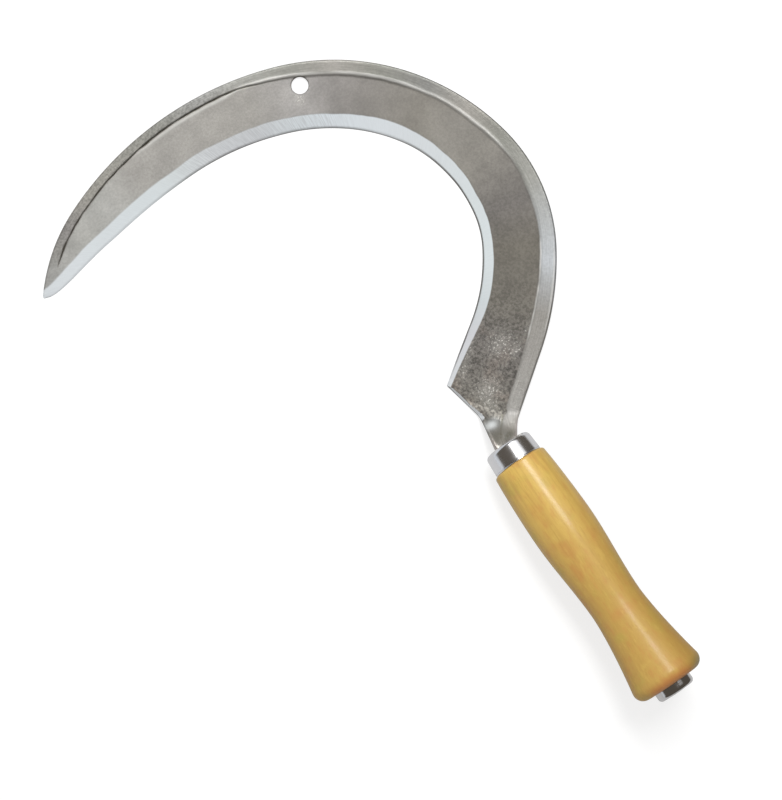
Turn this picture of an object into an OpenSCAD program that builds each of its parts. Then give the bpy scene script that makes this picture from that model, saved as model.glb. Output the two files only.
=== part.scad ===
// Grass sickle. A forged crescent blade is cranked up at its neck into a tang, which runs
// through a chromed ferrule and a turned handle and is peened flush in a chromed cap.
// Millimetres. The blade's underside lies on z = 0, and the handle runs towards -Y and rises.

/* [Back of the blade] */
// Direction in which the back leaves the neck, turned from +X towards +Y
heel_heading = 36.5; // [30:0.5:42]
// Straight length of the back above the neck
heel_run = 37; // [30:1:45]
// Length of the back from its start to the heel corner
heel_cut = 4.4; // [3:0.1:6]
// Radius of the back above the straight
root_r = 150; // [130:1:170]
// Turn of the back above the straight
root_turn = 21; // [16:0.5:26]
// Radius of the back at the shoulder, its tightest bend
shoulder_r = 90; // [75:1:105]
// Turn of the back at the shoulder
shoulder_turn = 42.5; // [36:0.5:48]
// Radius of the back at the crown
crown_r = 126; // [110:1:145]
// Turn of the back at the crown
crown_turn = 60; // [50:0.5:66]
// Radius of the back along the nose
nose_r = 178; // [150:1:200]
// Turn of the back along the nose
nose_turn = 42.5; // [36:0.5:48]
// Radius of the back at the point
point_r = 96; // [80:1:120]
// Turn of the back at the point
point_turn = 28.5; // [22:0.5:34]

/* [Width of the blade] */
// Width at the heel corner
heel_w = 40.5; // [36:0.5:46]
// Width above the heel
root_w = 38.5; // [35:0.5:43]
// Width along the crown
crown_w = 35.5; // [30:0.5:40]
// Width where the nose ends and the point begins
nose_w = 32; // [27:0.5:36]
// Length of the back over which the heel narrows to the width above it
heel_len = 75; // [50:1:100]
// Length of the back below the narrowing to the crown
shoulder_at = 130; // [100:1:150]
// Length of that narrowing
shoulder_len = 75; // [50:1:100]
// Distance from the tip at which the nose begins to narrow
nose_at = 220; // [180:1:240]
// Length over which the nose narrows
nose_len = 155; // [110:1:170]
// Distance from the tip at which the edge begins to run in to the point
point_len = 112; // [90:1:130]

/* [Thickness of the blade] */
// Thickness of the body at the heel
body_t = 2.2; // [1.8:0.1:3]
// Thickness of the body at the tip
tip_t = 1; // [0.8:0.1:1.5]
// Height of the rim over the body at the heel
rim_step = 1.2; // [0.6:0.1:1.8]
// Height of the rim over the body at the tip
tip_step = 0.2; // [0.1:0.05:0.5]
// Width of the rim from the heel to the crown
rim_w = 7.2; // [5:0.1:7.6]
// Width of the rim along the nose
nose_rim_w = 4.7; // [3.5:0.1:6]
// Length of the back at which the rim begins to narrow
rim_taper_at = 235; // [200:1:260]
// Length over which the rim narrows
rim_taper_len = 60; // [40:1:80]
// Depth of the groove between rim and body
groove_depth = 0.5; // [0.2:0.05:0.6]
// Width of the groove's slope on the body's side
groove_w = 1.6; // [1:0.1:2.5]
// Rounding of the back's upper corner
rim_round = 1.2; // [0.8:0.1:1.6]
// Chamfer of the back's lower corner
back_chamfer = 0.6; // [0.3:0.1:0.8]
// Width of the ground bevel at the heel corner
heel_bevel = 1; // [0.5:0.1:2]
// Width of the ground bevel above the heel
root_bevel = 5.6; // [4:0.1:7]
// Width of the ground bevel from the crown to the tip
nose_bevel = 7.5; // [5.5:0.1:9]
// Thickness of the cutting edge
edge_t = 0.4; // [0.3:0.05:0.6]

/* [Hang hole] */
// Diameter of the hang hole
hole_d = 9; // [6:0.5:10]
// Length of the back below the hang hole
hole_at = 278.5; // [250:0.5:300]
// Distance of the hang hole's centre from the back
hole_inset = 12; // [11.8:0.1:16]

/* [Neck and tang] */
// Height of the handle's axis over the blade's underside at the ferrule's mouth
axis_h = 13.5; // [13.5:0.5:18]
// Rise of the handle towards its butt
handle_tilt = 8; // [4:0.5:12]
// How far in front of the ferrule's mouth the straight of the back starts
neck_ahead = 7; // [5:0.5:10]
// How far that start lies to the right of the handle's axis
neck_aside = 12.8; // [11:0.1:15]
// Width of the neck at the ferrule's mouth
neck_w = 13.4; // [11:0.1:14]
// Height of the neck at the ferrule's mouth
neck_h = 6.5; // [6.4:0.1:7.5]
// Depth of the channel along the neck's upper side
channel_depth = 3.2; // [2:0.1:3.5]
// How far in front of the mouth the heel's cut edge ends
pinch_ahead = 19; // [16:0.5:22]
// How far that end lies to the left of the axis
pinch_aside = 3; // [2:0.1:4.5]
// Radius of the inner corner there
pinch_r = 14; // [8:1:18]
// Radius of the neck's corner on the other side
crank_r = 8; // [5:1:9]
// Part of the neck's length in which it climbs to the handle
climb_part = 0.52; // [0.45:0.01:0.6]
// Diameter of the tang
tang_d = 6; // [5:0.1:6.4]
// Diameter of the tang's peened head
peen_d = 10; // [8:0.5:12]

/* [Ferrule] */
// Length of the ferrule
ferrule_len = 11.5; // [9:0.5:16]
// Outer radius of the ferrule at its mouth
mouth_r = 13; // [12:0.1:13.2]
// Outer radius of the ferrule at the wood
skirt_r = 13.5; // [12.8:0.1:14]
// Thickness of the ferrule's sheet
ferrule_t = 1.1; // [0.8:0.1:1.5]
// Rounding of the ferrule's mouth
mouth_round = 2.5; // [1.5:0.1:3]
// Radius of the opening for the neck
opening_r = 8.5; // [8:0.1:9]

/* [Handle] */
// Length of the wooden grip behind the ferrule
grip_len = 136; // [120:1:150]
// Radius of the grip at its front
front_r = 14.9; // [14.5:0.1:16]
// Rounding of the front corner
front_round = 1.5; // [0.5:0.1:2]
// Radius of the belly
belly_r = 16.6; // [15.5:0.1:18]
// Distance of the belly from the grip's front
belly_at = 39.5; // [34:0.5:46]
// Radius of the waist
waist_r = 14.1; // [13:0.1:15]
// Distance of the waist from the grip's front
waist_at = 87; // [80:0.5:92]
// Largest radius, at the butt
butt_r = 19.6; // [18:0.1:21]
// Rounding of the butt's corner
butt_round = 5.5; // [4:0.1:7]

/* [Cap] */
// Radius of the cap
cap_r = 10.4; // [9:0.1:12]
// Height of the cap over the butt
cap_h = 5; // [4:0.1:7]
// Rounding of the cap's outer corner
cap_round = 2.2; // [1:0.1:2.5]
// Depth of the cap's countersink
sink_depth = 2.5; // [1.5:0.1:3]

/* [Fits] */
// Clearance between the tang and its bores, on the radius
tang_fit = 0.15; // [0.1:0.05:0.3]
// Clearance between the ferrule and the handle's spigot, on the radius
ferrule_fit = 0.05; // [0.02:0.01:0.1]
// Clearance between the peened head and the cap's countersink, on the radius
peen_fit = 0.05; // [0.02:0.01:0.1]

/* [Hidden] */

// Longest step between two sections of the blade
step = 6;
// Number of sections in the neck
neck_steps = 14;
// Form of the point: how full the edge runs in to the tip
point_form = 0.56;
// Form of the swell in front of the belly, and of the flare behind the waist
swell_form = 1.7;
flare_form = 1.5;
round_fn = 96;
// How far the hang hole's cutter stands out of the blade on each side
cutter_over = 1;

function ease(t) = let (u = min(max(t, 0), 1)) u * u * (3 - 2 * u);
function mix(a, b, t) = a + (b - a) * t;

// The back is a straight and five tangent arcs, each as [length, turn in degrees per millimetre].
function arc(r, turn) = [r * turn * PI / 180, 180 / (PI * r)];
back = [[heel_run, 0], arc(root_r, root_turn), arc(shoulder_r, shoulder_turn),
    arc(crown_r, crown_turn), arc(nose_r, nose_turn), arc(point_r, point_turn)];
back_len = [for (piece = back) 1] * [for (piece = back) piece[0]];

// A place on the back is [x, y, heading].
back_start = [neck_aside, neck_ahead, heel_heading];
function walk(p, len, bend) = bend == 0
    ? [p.x + len * cos(p.z), p.y + len * sin(p.z), p.z]
    : let (r = 180 / (PI * bend), h = p.z + bend * len)
        [p.x + r * (sin(h) - sin(p.z)), p.y - r * (cos(h) - cos(p.z)), h];
function place(s, i = 0, p = back_start) = s <= back[i][0] || i == len(back) - 1
    ? walk(p, s, back[i][1])
    : place(s - back[i][0], i + 1, walk(p, back[i][0], back[i][1]));
// The point that lies a depth d inside the back at length s
function inside(s, d) = let (p = place(s)) [p.x - d * sin(p.z), p.y + d * cos(p.z)];

function blade_w(s) = let (to_tip = back_len - s)
    (heel_w + (root_w - heel_w) * ease(s / heel_len)
        + (crown_w - root_w) * ease((s - shoulder_at) / shoulder_len)
        + (nose_w - crown_w) * ease((nose_at - to_tip) / nose_len))
    * pow(1 - pow(max(1 - to_tip / point_len, 0), 2), point_form);
function blade_t(s) = mix(body_t, tip_t, s / back_len);
function blade_rim_h(s) = blade_t(s) + mix(rim_step, tip_step, s / back_len);
function blade_rim_w(s) = mix(rim_w, nose_rim_w, ease((s - rim_taper_at) / rim_taper_len));
function blade_bevel(s) = heel_bevel + (root_bevel - heel_bevel) * ease(s / heel_len)
    + (nose_bevel - root_bevel) * ease((s - shoulder_at) / shoulder_len);

// A section is a ring of [part of the width from the back, height]: the back's rounded
// corner, the rim, the groove, the body, the bevel, the edge and then the flat underside.
function blade_ring(s) = let (
        w = blade_w(s), rim = blade_rim_w(s), bevel = blade_bevel(s), t = blade_t(s),
        h = blade_rim_h(s), groove = min(groove_depth, t / 3), flat = rim + groove_w,
        fit = max(1, (flat + bevel + least_body) / w) * w)
    [[0, back_chamfer * t / body_t], [0, h - rim_round * t / body_t * 0.7],
        [0.3 * rim_round / fit, h - 0.2 * rim_round * t / body_t], [rim_round / fit, h],
        [(rim - groove_w * 0.8) / fit, h - 0.1 * (h - t)], [rim / fit, t - groove],
        [flat / fit, t], [0.5 + (flat - bevel) / fit / 2, t], [1 - bevel / fit, t],
        [1, edge_t], [1, 0], [0.8, 0], [0.5, 0], [0.2, 0], [back_chamfer / fit, 0]];

// The neck's section is a channel with two rounded lips. It fills up at the ferrule's mouth.
function neck_ring(filled) = let (
        floor_h = neck_h - channel_depth * (1 - filled), lip = neck_h, low = neck_h * 0.16)
    [[0, 0.38 * neck_h], [0, 0.62 * neck_h], [0.02, 0.85 * neck_h], [0.08, lip],
        [0.2, mix(0.95 * lip, lip, filled)], [0.5, floor_h],
        [0.7, mix(floor_h, lip, 0.4)], [0.84, mix(0.93 * lip, lip, filled)], [0.93, lip],
        [1, 0.8 * neck_h], [1, 0.5 * neck_h], [0.9, low], [0.5, 0], [0.12, low],
        [0.04, 0.24 * neck_h]];

// The heel corner is where the cut edge of the heel starts, square to the back.
heel_corner = inside(heel_cut, blade_w(heel_cut));
neck_left = [-neck_w / 2, 0];
neck_right = [neck_w / 2, 0];
pinch = [-pinch_aside, pinch_ahead];

// A path from a to c that rounds the corner b with the radius r
function unit(v) = v / norm(v);
function rounded(a, b, c, r, n = 6) = let (
        u = unit(a - b), v = unit(c - b), half = acos(min(max(u * v, -1), 1)) / 2,
        reach = min(r / tan(half), norm(a - b), norm(c - b)), rr = reach * tan(half),
        m = b + unit(u + v) * rr / sin(half), from = b + u * reach - m, to = b + v * reach - m)
    concat([a], [for (i = [0:n]) let (q = unit(mix(from, to, i / n))) m + q * rr], [c]);
function lengths(path, i = 0, sum = 0) = i == len(path) - 1 ? [sum]
    : concat([sum], lengths(path, i + 1, sum + norm(path[i + 1] - path[i])));
// The point at the part f of a path's length
function along(path, f) = let (d = lengths(path), s = f * d[len(d) - 1])
    [lookup(s, [for (i = [0:len(path) - 1]) [d[i], path[i].x]]),
        lookup(s, [for (i = [0:len(path) - 1]) [d[i], path[i].y]])];
left_side = rounded(heel_corner, pinch, neck_left, pinch_r);
back_low = [neck_aside, neck_ahead];
right_side = rounded(place(heel_cut), back_low, neck_right, crank_r);

// A point at the height v over the neck's underside, at the distance a behind the mouth
function on_axis(x, v, a) = let (up = v - neck_h / 2)
    [x, up * sin(handle_tilt) - a * cos(handle_tilt),
        axis_h + up * cos(handle_tilt) + a * sin(handle_tilt)];
rise = axis_h - neck_h / 2;
function lift(f) = rise * ease((f - 1 + climb_part) / climb_part);

function to_3d(from, to, ring, z) = [for (q = ring) let (p = mix(from, to, q[0])) [p.x, p.y, z + q[1]]];
function neck_section(f) = let (
        start = blade_ring(heel_cut), end = neck_ring(ease((f - 0.88) / 0.12)), m = ease(f / 0.7))
    to_3d(along(right_side, f), along(left_side, f),
        [for (i = [0:len(start) - 1]) mix(start[i], end[i], m)], lift(f));
function blade_section(s) = to_3d(inside(s, 0), inside(s, blade_w(s)), blade_ring(s), 0);
function mouth_section(a) = [for (q = neck_ring(1)) on_axis((q[0] - 0.5) * -neck_w, q[1], a)];

// Width of the body that is left between groove and bevel at the tip
least_body = 1;
// Distance from the last section to the very tip
tip_gap = 0.8;
blade_steps = ceil((back_len - tip_gap - heel_cut) / step);
sections = concat(
    [for (i = [0:blade_steps]) blade_section(mix(back_len - tip_gap, heel_cut, i / blade_steps))],
    [for (i = [1:neck_steps - 1]) neck_section(i / neck_steps)],
    [mouth_section(0), mouth_section(ferrule_t)]);

// Outline of the turned parts as [radius, distance behind the ferrule's mouth]
grip_end = ferrule_len + grip_len;
cap_end = grip_end + cap_h;
corner_lean = 10;
corner_r = butt_r - butt_round;
corner_a = grip_end - butt_round;
flare_r = corner_r + butt_round * cos(corner_lean);
flare_a = corner_a - butt_round * sin(corner_lean);
belly_a = ferrule_len + belly_at;
waist_a = ferrule_len + waist_at;
function quarter(r, a, size, from, to, n) = [for (i = [0:n]) let (q = mix(from, to, i / n))
    [r + size * cos(q), a + size * sin(q)]];
grip_front = quarter(front_r - front_round, ferrule_len + front_round, front_round, -90, 0, 4);
grip_swell = [for (i = [3:15]) let (t = 1 - i / 15)
    [belly_r - (belly_r - front_r) * pow(t, swell_form), mix(belly_a, ferrule_len, t)]];
grip_sides = [for (i = [1:16]) [mix(belly_r, waist_r, ease(i / 16)), mix(belly_a, waist_a, i / 16)]];
grip_flare = [for (i = [1:15]) let (t = i / 16)
    [mix(waist_r, flare_r, pow(t, flare_form)), mix(waist_a, flare_a, t)]];
grip_corner = quarter(corner_r, corner_a, butt_round, -corner_lean, 90, 10);
spigot_r = mouth_r - ferrule_t - ferrule_fit;
spigot = [[tang_d / 2 + tang_fit, ferrule_t], [spigot_r - mouth_round / 2, ferrule_t],
    [spigot_r, ferrule_t + mouth_round / 2], [skirt_r - ferrule_t - ferrule_fit, ferrule_len]];
grip_outline = concat(spigot, grip_front, grip_swell, grip_sides, grip_flare, grip_corner,
    [[tang_d / 2 + tang_fit, grip_end]]);
cap_outline = concat([[tang_d / 2 + tang_fit, grip_end], [cap_r, grip_end]],
    quarter(cap_r - cap_round, cap_end - cap_round, cap_round, 0, 90, 8),
    [[peen_d / 2 + peen_fit, cap_end], [tang_d / 2 + tang_fit, cap_end - sink_depth]]);

// The part stands with the middle of its bounding box over the origin.
outline = [for (ring = sections, p = ring) p];
turned_y = [for (p = concat(grip_outline, cap_outline))
    -p[1] * cos(handle_tilt) - p[0] * sin(handle_tilt)];
middle = [(min([for (p = outline) p.x]) + max([for (p = outline) p.x])) / 2,
    (min(turned_y) + max([for (p = outline) p.y])) / 2];

module placed() {
    translate([-middle.x, -middle.y, 0]) children();
}

// Turned parts: local z runs along the handle's axis, from the ferrule's mouth to the butt.
module turned() {
    placed() translate([0, 0, axis_h]) rotate([90 - handle_tilt, 0, 0]) children();
}

// A closed skin through the sections, from the tip to the shoulder that seats on the wood
module skin(rings) {
    n = len(rings[0]);
    last = len(rings) - 1;
    sides = [for (i = [0:last - 1], j = [0:n - 1]) let (
            a = i * n + j, b = i * n + (j + 1) % n, c = a + n, d = b + n)
        each [[a, c, b], [b, c, d]]];
    ends = [[for (j = [0:n - 1]) j], [for (j = [n - 1:-1:0]) last * n + j]];
    polyhedron([for (ring = rings) each ring], concat(ends, sides));
}

module tang() {
    neck_end = ferrule_t / 2;
    turned() translate([0, 0, neck_end]) cylinder(h = cap_end - neck_end, d = tang_d, $fn = round_fn);
    turned() translate([0, 0, cap_end - sink_depth])
        cylinder(h = sink_depth, d1 = tang_d, d2 = peen_d, $fn = round_fn);
}

module blade() {
    hole = inside(hole_at, hole_inset);
    cutter_h = body_t + rim_step + 2 * cutter_over;
    color("slategray") difference() {
        union() {
            placed() skin(sections);
            tang();
        }
        placed() translate([hole.x, hole.y, -cutter_over])
            cylinder(h = cutter_h, d = hole_d, $fn = round_fn);
    }
}

module ferrule() {
    color("silver") turned() rotate_extrude($fn = round_fn) polygon(concat(
        [[opening_r, ferrule_t], [opening_r, 0]],
        quarter(mouth_r - mouth_round, mouth_round, mouth_round, -90, 0, 8),
        [[skirt_r, ferrule_len], [skirt_r - ferrule_t, ferrule_len],
            [mouth_r - ferrule_t, ferrule_t + mouth_round / 2],
            [mouth_r - ferrule_t - mouth_round / 2, ferrule_t]]));
}

module handle() {
    color("goldenrod") turned() rotate_extrude($fn = round_fn) polygon(grip_outline);
}

module butt_cap() {
    color("silver") turned() rotate_extrude($fn = round_fn) polygon(cap_outline);
}

blade();
ferrule();
handle();
butt_cap();
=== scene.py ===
import math

import bpy
import numpy as np
from mathutils import Matrix, Vector, noise


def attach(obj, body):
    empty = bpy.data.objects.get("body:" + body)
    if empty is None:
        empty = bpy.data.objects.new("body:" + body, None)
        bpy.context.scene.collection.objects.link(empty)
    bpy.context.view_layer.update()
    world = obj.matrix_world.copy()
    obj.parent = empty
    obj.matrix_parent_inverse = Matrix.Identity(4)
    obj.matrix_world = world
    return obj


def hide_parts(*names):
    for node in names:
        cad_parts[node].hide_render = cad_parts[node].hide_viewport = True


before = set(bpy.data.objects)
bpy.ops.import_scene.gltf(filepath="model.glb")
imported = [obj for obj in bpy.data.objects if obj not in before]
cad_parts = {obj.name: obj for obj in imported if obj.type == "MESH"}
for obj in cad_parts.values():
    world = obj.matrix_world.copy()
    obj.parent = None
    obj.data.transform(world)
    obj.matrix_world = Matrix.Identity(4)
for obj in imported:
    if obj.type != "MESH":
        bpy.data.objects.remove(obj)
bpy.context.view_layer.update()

# Camera. It looks straight down from 1.2 m, and is turned so that the handle runs to the lower
# right. The image is 782 by 800 pixels, and a pixel covers 0.52 mm of the floor.
MM = 0.001
CAMERA_AT = (-5.44, 8.45, 1200)
CAMERA_TURN = math.radians(-34.489)
IMAGE_HIGH = 800
PIXEL = 0.52
SENSOR = 36

scene = bpy.context.scene


def put(name, data):
    """A new object in the scene."""
    made = bpy.data.objects.new(name, data)
    scene.collection.objects.link(made)
    return made


camera_data = bpy.data.cameras.new("camera")
camera_data.sensor_fit = "VERTICAL"
camera_data.sensor_height = SENSOR
camera_data.lens = SENSOR * CAMERA_AT[2] / (IMAGE_HIGH * PIXEL)
camera = put("camera", camera_data)
camera.location = Vector(CAMERA_AT) * MM
camera.rotation_euler = (0, 0, CAMERA_TURN)
scene.camera = camera
scene.view_settings.view_transform = "Standard"


# Studio. A long soft box over the handle's right, a white panel beside it, dim walls that polished
# metal shows as dark bands, a pale band along the left horizon, a fill that is lighter on the
# left, a pale floor, and a dark card on the floor's right that only reflections show.
WHITE = (1, 1, 1)
WALL = (0.11, 0.095, 0.078)
FILL_RIGHT, FILL_LEFT = (0.26, 0.27, 0.28), (0.68, 0.66, 0.64)
FILL_SPREAD = 0.9
HORIZON = (0.72, 0.75, 0.78)
HORIZON_FROM, HORIZON_TO = 0.02, -0.12
HORIZON_LEAN = Vector((0.30, -0.30, 1))
PANEL_FROM, PANEL_TO, PANEL_SOFT = math.radians(29), math.radians(53), math.radians(3)
PANEL_AHEAD = math.radians(7)
BOX_TOWARDS = Vector((0.35, 0.42, 0.87))
BOX_AWAY = 2400
BOX_WIDE, BOX_LONG = 620, 1500
BOX_WATTS = 46
FLOOR_WIDE = 12000
FLOOR_COLOUR = (0.33, 0.33, 0.33)
FLOOR_GLOW = 0.72
FLOOR_MIRRORED = 0.32
FLOOR_NEAR, FLOOR_FAR = 330, 620
CARD_FROM, CARD_TO = 90, 140


def feed(tree, node, inputs):
    """Gives the node its inputs: numbers, colours or the outputs of other nodes."""
    for name, value in inputs.items():
        socket = node.inputs[name]
        if isinstance(value, bpy.types.NodeSocket):
            tree.links.new(value, socket)
        elif socket.type == "RGBA":
            socket.default_value = (*value, 1)
        else:
            socket.default_value = value


def add(tree, kind, inputs=None, **settings):
    """The outputs of a new shader node of that kind."""
    made = tree.nodes.new("ShaderNode" + kind)
    for name, value in settings.items():
        setattr(made, name, value)
    feed(tree, made, inputs or {})
    return made.outputs


def calc(tree, operation, *values, clamp=False):
    """The output of a Math node."""
    return add(tree, "Math", dict(enumerate(values)), operation=operation, use_clamp=clamp)[0]


def times(tree, a, b, clamp=False):
    """The product of two values."""
    return calc(tree, "MULTIPLY", a, b, clamp=clamp)


def plus(tree, value, share, amount):
    """The value plus the product of share and amount."""
    return calc(tree, "ADD", value, times(tree, share, amount))


def blend(tree, share, a, b, how="MIX"):
    """The colour a, with the share of b laid over it."""
    return add(tree, "Mix", {0: share, 6: a, 7: b}, data_type="RGBA", blend_type=how)[2]


def between(tree, value, low, high, to_low=0.0, to_high=1.0):
    """to_low where the value is at low, to_high where it is at high, and smooth in between."""
    ranges = {"Value": value, "From Min": low, "From Max": high, "To Min": to_low, "To Max": to_high}
    return add(tree, "MapRange", ranges, interpolation_type="SMOOTHSTEP")[0]


world = bpy.data.worlds.new("studio")
scene.world = world
world.use_nodes = True
sky = world.node_tree
sky.nodes.clear()
ray = add(sky, "LightPath")
towards = {0: add(sky, "TexCoord")["Generated"], 1: HORIZON_LEAN}
height = add(sky, "VectorMath", towards, operation="DOT_PRODUCT")["Value"]
walls = blend(sky, between(sky, height, HORIZON_TO, HORIZON_FROM, 1, 0), WALL, HORIZON)
parts = add(sky, "SeparateXYZ", {0: towards[0]})
slant = calc(sky, "ARCTAN2", parts[0], parts[2])
ahead = calc(sky, "ARCTAN2", parts[1], parts[2])
sides = [(slant, PANEL_FROM, PANEL_SOFT), (slant, PANEL_TO, -PANEL_SOFT), (ahead, PANEL_AHEAD, PANEL_SOFT)]
panel = 1
for angle, side, soft in sides:
    panel = times(sky, panel, between(sky, angle, side - soft, side + soft))
walls = blend(sky, panel, walls, WHITE)
fill = blend(sky, between(sky, parts[0], FILL_SPREAD, -FILL_SPREAD), FILL_RIGHT, FILL_LEFT)
filled = blend(sky, ray["Is Diffuse Ray"], walls, fill)
backdrop = blend(sky, ray["Is Camera Ray"], filled, WHITE)
background = add(sky, "Background", {"Color": backdrop})
add(sky, "OutputWorld", {0: background[0]})

box_data = bpy.data.lights.new("soft_box", "AREA")
box_data.shape = "RECTANGLE"
box_data.size = BOX_WIDE * MM
box_data.size_y = BOX_LONG * MM
box_data.energy = BOX_WATTS
soft_box = put("soft_box", box_data)
soft_box.location = BOX_TOWARDS.normalized() * BOX_AWAY * MM
box_z = BOX_TOWARDS.normalized()
box_x = Vector((0, 1, 0)).cross(box_z).normalized()
soft_box.rotation_euler = Matrix((box_x, box_z.cross(box_x), box_z)).transposed().to_euler()

floor_mesh = bpy.data.meshes.new("floor")
reach = FLOOR_WIDE * MM / 2
floor_mesh.from_pydata(
    [(-reach, -reach, 0), (reach, -reach, 0), (reach, reach, 0), (-reach, reach, 0)], [], [(0, 1, 2, 3)]
)
floor = put("floor", floor_mesh)

paper = bpy.data.materials.new("pale_paper")
paper.use_nodes = True
tree = paper.node_tree
tree.nodes.clear()
ray = add(tree, "LightPath")
seen = calc(tree, "MAXIMUM", ray["Is Camera Ray"], ray["Is Transmission Ray"])
place = add(tree, "TexCoord")["Object"]
away = add(tree, "VectorMath", {0: place}, operation="LENGTH")
far = between(tree, away["Value"], FLOOR_NEAR * MM, FLOOR_FAR * MM)
white_out = times(tree, far, seen)
rightward = add(tree, "SeparateXYZ", {0: place})[0]
card = between(tree, rightward, CARD_FROM * MM, CARD_TO * MM)
card = times(tree, card, ray["Is Glossy Ray"])
lit = add(tree, "BsdfDiffuse", {"Color": FLOOR_COLOUR})[0]
glowing = times(tree, ray["Is Glossy Ray"], FLOOR_MIRRORED)
glowing = plus(tree, glowing, seen, FLOOR_GLOW)
glow = add(tree, "Emission", {"Strength": glowing})[0]
near = add(tree, "AddShader", {0: lit, 1: glow})[0]
plain = add(tree, "Emission")[0]
surface = add(tree, "MixShader", {0: white_out, 1: near, 2: plain})[0]
dark = add(tree, "Emission", {"Color": WALL})[0]
surface = add(tree, "MixShader", {0: card, 1: surface, 2: dark})[0]
add(tree, "OutputMaterial", {0: surface})
floor_mesh.materials.append(paper)


# Blade. One steel forging: a crescent with a raised rim along its back, a bevel ground on the
# upper side, a punched hang hole, a neck pressed into a channel that climbs to the handle, and
# the tang that runs on through the handle and is peened over in the cap. Sizes are in mm.
MOUTH = Vector((30.44, -44.02, 13.5))
HANDLE_TILT = math.radians(8)
BACK_START = Vector((12.8, 7))
BACK_HEADING = math.radians(36.5)
HEEL_RUN = 37
BACK_ARCS = [(150, 21), (90, 42.5), (126, 60), (178, 42.5), (96, 28.5)]
HEEL_CUT = 4.4
HEEL_WIDE, ROOT_WIDE, CROWN_WIDE, NOSE_WIDE = 40.5, 38.5, 35.5, 32
ROOT_AT, CROWN_FROM, CROWN_RUN, NOSE_FROM_TIP, NOSE_RUN = 75, 130, 75, 220, 155
POINT_LONG, POINT_FORM = 112, 0.56
BODY_THICK, TIP_THICK = 2.2, 1.0
RIM_STEP, TIP_STEP, MOST_STEP = 1.2, 0.2, 0.55
RIM_SOFT, RIM_SHIFT, RIM_LOWERED, RIM_AHEAD, RIM_FADE = 0.55, 0.35, 0.65, 12, 14
HAMMERED = [(0.05, 17, 12, 1.7), (0.02, 5, 5, 3.1)]
PIT_DEEP, PITS, PITS_TO, PITS_FADE = 0.035, (2.1, 2.1, 8.2), 30, 45

# Along the back: the length of the rim's slope, and the depth of its foot.
RIM_SLOPE = [(0, 3), (30, 3), (60, 2), (90, 3), (275, 3), (310, 0.8), (470, 0.8)]
RIM_FOOT = [(0, 8), (24, 8.2), (48, 9.3), (72, 8.9), (100, 8.4), (125, 8.4), (144, 7.4), (175, 8.4)]
RIM_FOOT += [(197, 7.7), (215, 7.8), (275, 7.5), (300, 6.3), (313, 5.2), (345, 5.4), (470, 5)]

# Waves of the rim's foot and of the bevel: height, length and seed.
RIM_WAVES, BEVEL_WAVES = [(0.22, 19, 3), (0.12, 5, 4)], [(0.35, 26, 1), (0.16, 7, 2)]

BACK_ROUND, BACK_ROUND_DEEP, BACK_CHAMFER = 1.2, 0.7, 0.6
HEEL_BEVEL, ROOT_BEVEL, NOSE_BEVEL, CUT_BEVEL = 2.2, 5.6, 7.5, 1.25
HEEL_BEVEL_LONG, EVEN_TO, EVEN_FROM, EVEN_RUN, EVEN_SHARE = 60, 10, 360, 60, 0.8
BEVEL_BLUR, HONED_BLUR, BEVEL_BLEND, EDGE_BLEND = 0.03, 0.02, 0.12, 0.10
EDGE_THICK, EDGE_HIGH, EDGE_UNDER = 0.4, 0.6, 0.05
HONED_DROP, HONED_EXTRA = 0.28, 0.40
GROOVE_END = 17
TIP_GAP, TIP_ROUND = 0.28, 0.5
BACK_INSET = 0.03
BEVEL_SLOPE = 0.36
HOLE_AT, HOLE_IN, HOLE_R = 278.5, 12, 4.5
NECK_LONG, NECK_WIDE, NECK_HIGH, CHANNEL = 34, 13.4, 6.5, 3.2
PINCH, PINCH_R, CRANK_R = Vector((-3, 19)), 14, 8
TANG_R, PEEN_R, SINK, TANG_ACROSS = 3, 5, 2.5, 20
FERRULE_LONG, GRIP_LONG, CAP_HIGH, SHEET = 11.5, 136, 5, 1.1
GRIP_END = FERRULE_LONG + GRIP_LONG
CAP_END = GRIP_END + CAP_HIGH

back_runs = [(HEEL_RUN, 0)] + [(r * math.radians(turn), 1 / r) for r, turn in BACK_ARCS]
BACK_LONG = sum(run for run, bend in back_runs)


def ease(t):
    """Smooth from 0 at t = 0 to 1 at t = 1."""
    t = np.clip(t, 0, 1)
    return t * t * (3 - 2 * t)


def window(s, start, rise, end, fall):
    """1 between start and end along the blade, with soft ends of the lengths rise and fall."""
    return ease((s - start) / rise) * (1 - ease((s - end) / fall))


def wobble(s, length, seed):
    """A smooth random line along the blade, roughly from -1 to 1, with bends of that length."""
    return noise.noise(Vector((s / length, seed * 7.3, 0.4))) * 1.4


def back_at(s):
    """The back's point at the length s from the neck, and the heading there."""
    x, y, heading = *BACK_START, BACK_HEADING
    for run, bend in back_runs:
        step = min(max(s, 0), run)
        if bend:
            turned = heading + bend * step
            x += (math.sin(turned) - math.sin(heading)) / bend
            y += (math.cos(heading) - math.cos(turned)) / bend
            heading = turned
        else:
            x += step * math.cos(heading)
            y += step * math.sin(heading)
        s -= step
    return Vector((x, y)), heading


def inside(s, depth):
    """The point that lies that deep inside the back at the length s."""
    point, heading = back_at(s)
    return point + Vector((-math.sin(heading), math.cos(heading))) * depth


def wavy(s, value, waves):
    """The value with random lines laid over it, each given as a height, a length and a seed."""
    return sum((high * wobble(s, length, seed) for high, length, seed in waves), value)


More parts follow.
